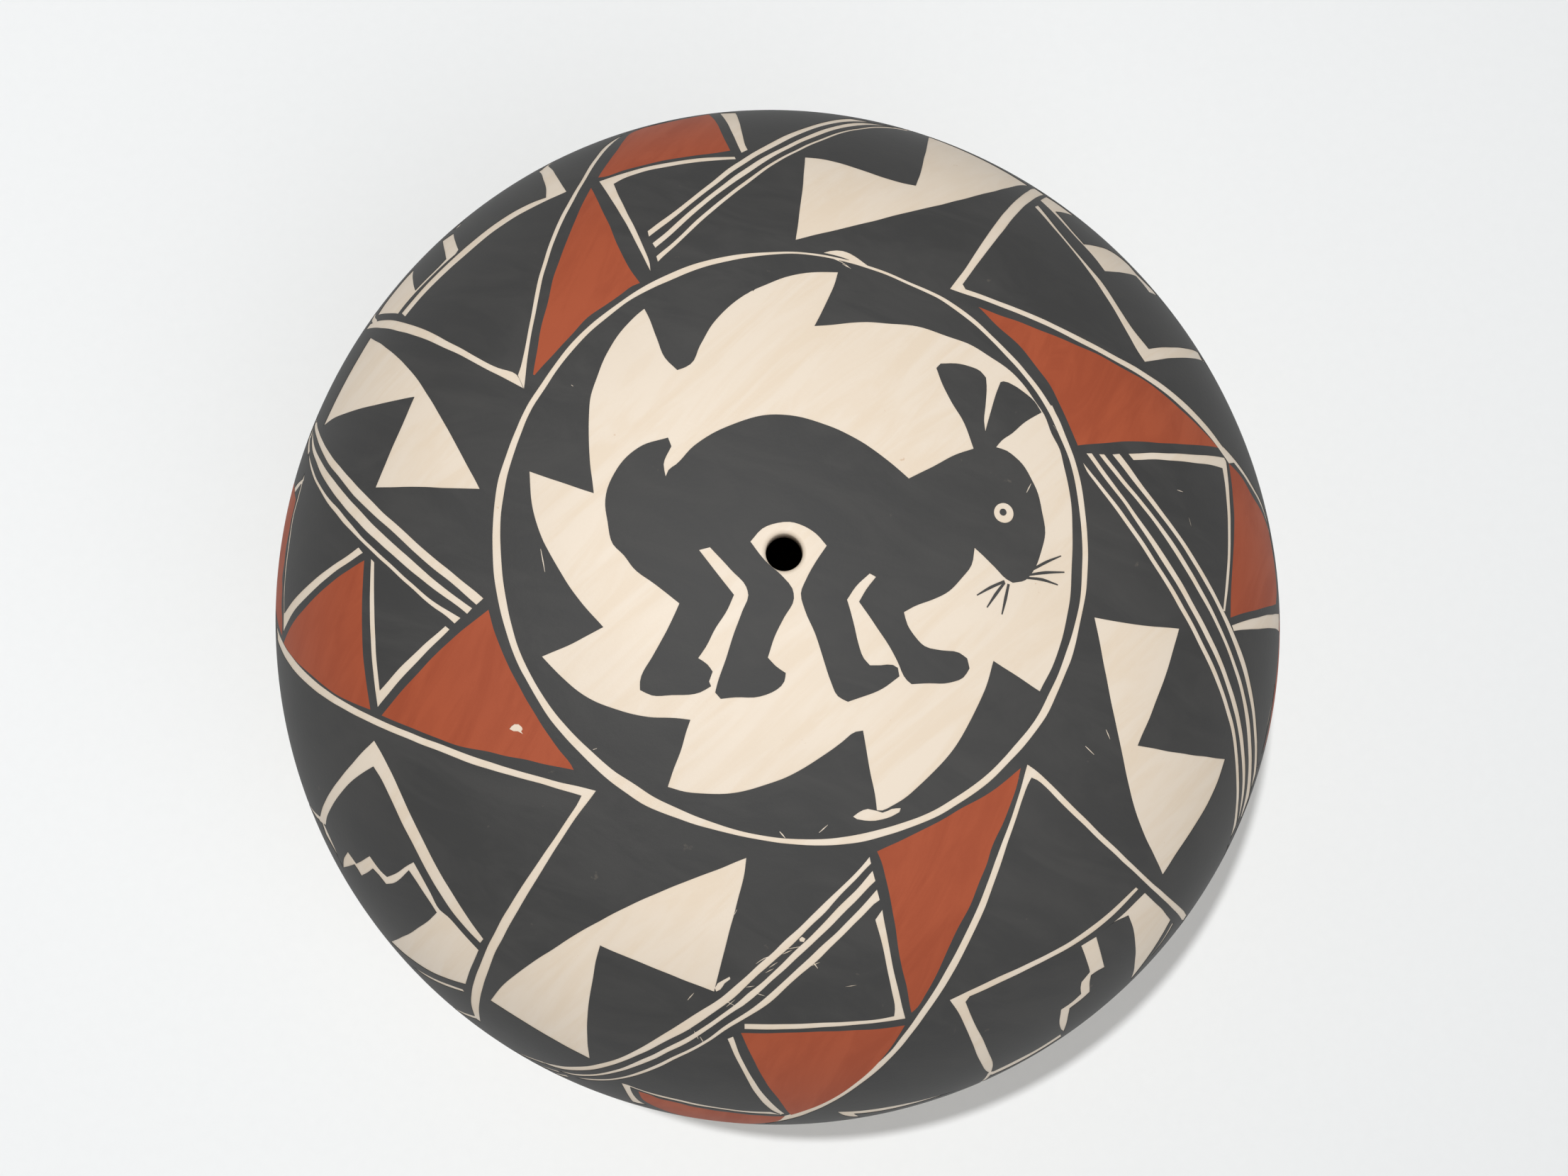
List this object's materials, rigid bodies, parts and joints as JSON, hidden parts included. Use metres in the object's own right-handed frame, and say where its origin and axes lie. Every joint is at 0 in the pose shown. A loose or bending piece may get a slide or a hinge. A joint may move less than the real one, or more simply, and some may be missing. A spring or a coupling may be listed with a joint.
{
  "type": "pottery seed jar",
  "caption": "Closed, flattened globe of coil-built clay with one small round mouth in the crown, white slip and a painted black and orange-red pattern.",
  "frame": {"origin": "on the floor, in the middle of the foot ring", "axes": "+Z up through the mouth; +X to the right and +Y up in the picture when the painted rabbit stands upright, seen from above"},
  "size_m": [0.2006, 0.2006, 0.1203],
  "materials": {
    "clay": "matt",
    "slip": "burnished matt",
    "black_paint": "matt",
    "orange_paint": "matt"
  },
  "bodies": {
    "root": {"base_pat": "clay", "wall_coil_01": "clay", "wall_coil_02": "clay", "wall_coil_03": "clay", "wall_coil_04": "clay", "wall_coil_05": "clay", "wall_coil_06": "clay", "wall_coil_07": "clay", "wall_coil_08": "clay", "wall_coil_09": "clay", "wall_coil_10": "clay", "wall_coil_11": "clay", "wall_coil_12": "clay", "wall_coil_13": "clay", "mouth_coil": "clay", "white_slip": "slip", "medallion_border": "black_paint", "rabbit_figure": "black_paint", "black_band": "black_paint", "orange_inner": "orange_paint", "orange_outer": "orange_paint"}
  },
  "joints": []
}
